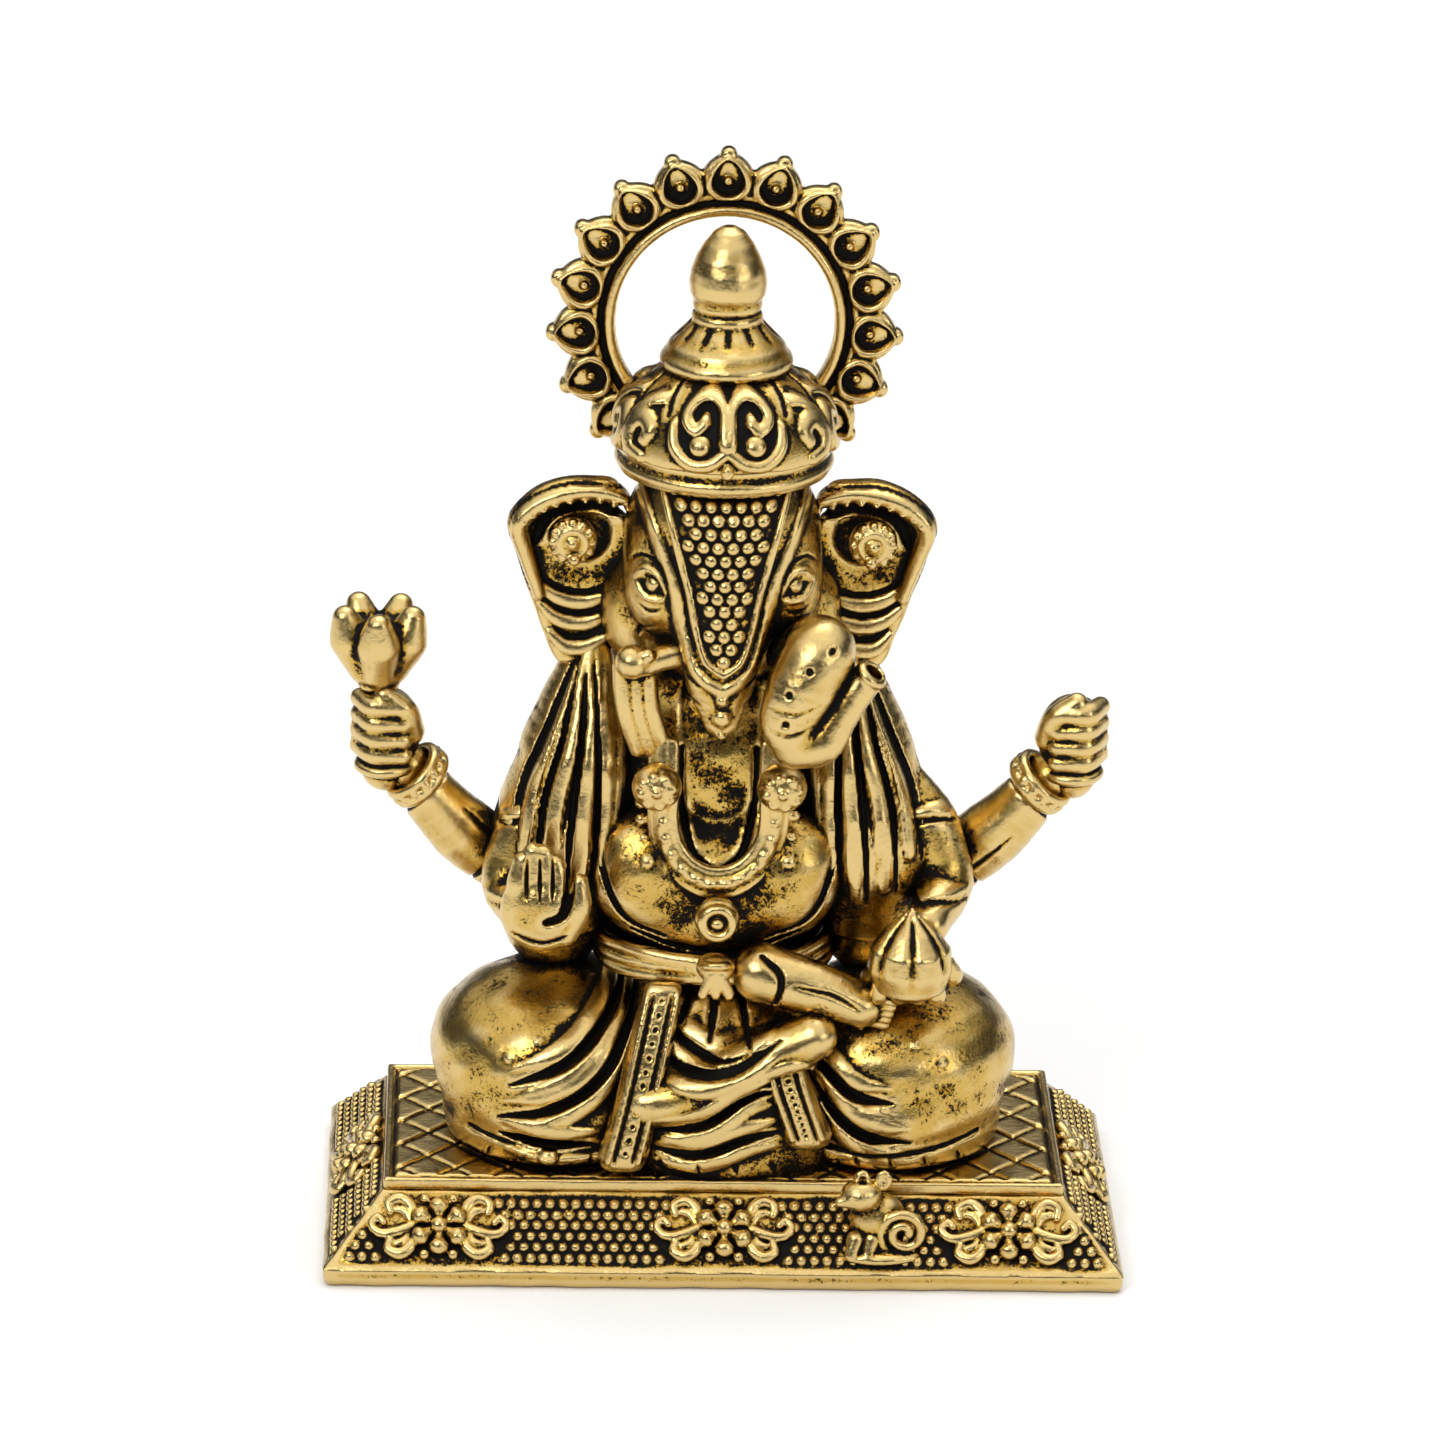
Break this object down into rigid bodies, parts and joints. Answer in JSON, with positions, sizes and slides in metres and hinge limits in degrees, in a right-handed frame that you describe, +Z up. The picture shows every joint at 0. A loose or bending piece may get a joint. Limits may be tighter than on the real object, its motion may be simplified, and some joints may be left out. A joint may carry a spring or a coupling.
{
  "type": "ganesha idol",
  "caption": "Seated elephant-headed idol with raised arms, domed crown and open leaf-edged halo, on a rectangular sloped pedestal.",
  "frame": {"origin": "middle of the pedestal's underside", "axes": "+Z up, +X towards the idol's left side (the viewer's right), -Y the way the idol faces"},
  "size_m": [0.0534, 0.0274, 0.0738],
  "materials": {
    "antique_gold": "antique gold plating over zinc alloy, worn bright on the highs with black patina in the recesses"
  },
  "bodies": {
    "root": {"crossed_foot": "antique_gold", "crown_band": "antique_gold", "crown_dome": "antique_gold", "crown_finial": "antique_gold", "crown_tier": "antique_gold", "ear_studs": "antique_gold", "end_rosettes": "antique_gold", "forehead_net": "antique_gold", "front_left_arm": "antique_gold", "front_left_hand": "antique_gold", "front_right_arm": "antique_gold", "front_right_hand": "antique_gold", "front_rosettes": "antique_gold", "halo": "antique_gold", "head": "antique_gold", "lap_cloth": "antique_gold", "left_ear": "antique_gold", "left_fold": "antique_gold", "left_medallion": "antique_gold", "left_shawl": "antique_gold", "left_thigh": "antique_gold", "lotus_bud": "antique_gold", "modak_sweet": "antique_gold", "mouse": "antique_gold", "necklace_band": "antique_gold", "necklace_drop": "antique_gold", "pedestal": "antique_gold", "rear_left_arm": "antique_gold", "rear_left_hand": "antique_gold", "rear_right_arm": "antique_gold", "rear_right_hand": "antique_gold", "rear_rosettes": "antique_gold", "right_ear": "antique_gold", "right_fold": "antique_gold", "right_medallion": "antique_gold", "right_shawl": "antique_gold", "right_thigh": "antique_gold", "seat_slab": "antique_gold", "torso": "antique_gold", "trunk": "antique_gold", "trunk_curl": "antique_gold", "tusk": "antique_gold", "tusk_tassel": "antique_gold", "waist_knot": "antique_gold", "waist_sash": "antique_gold", "wrist_bangles": "antique_gold"}
  },
  "joints": []
}
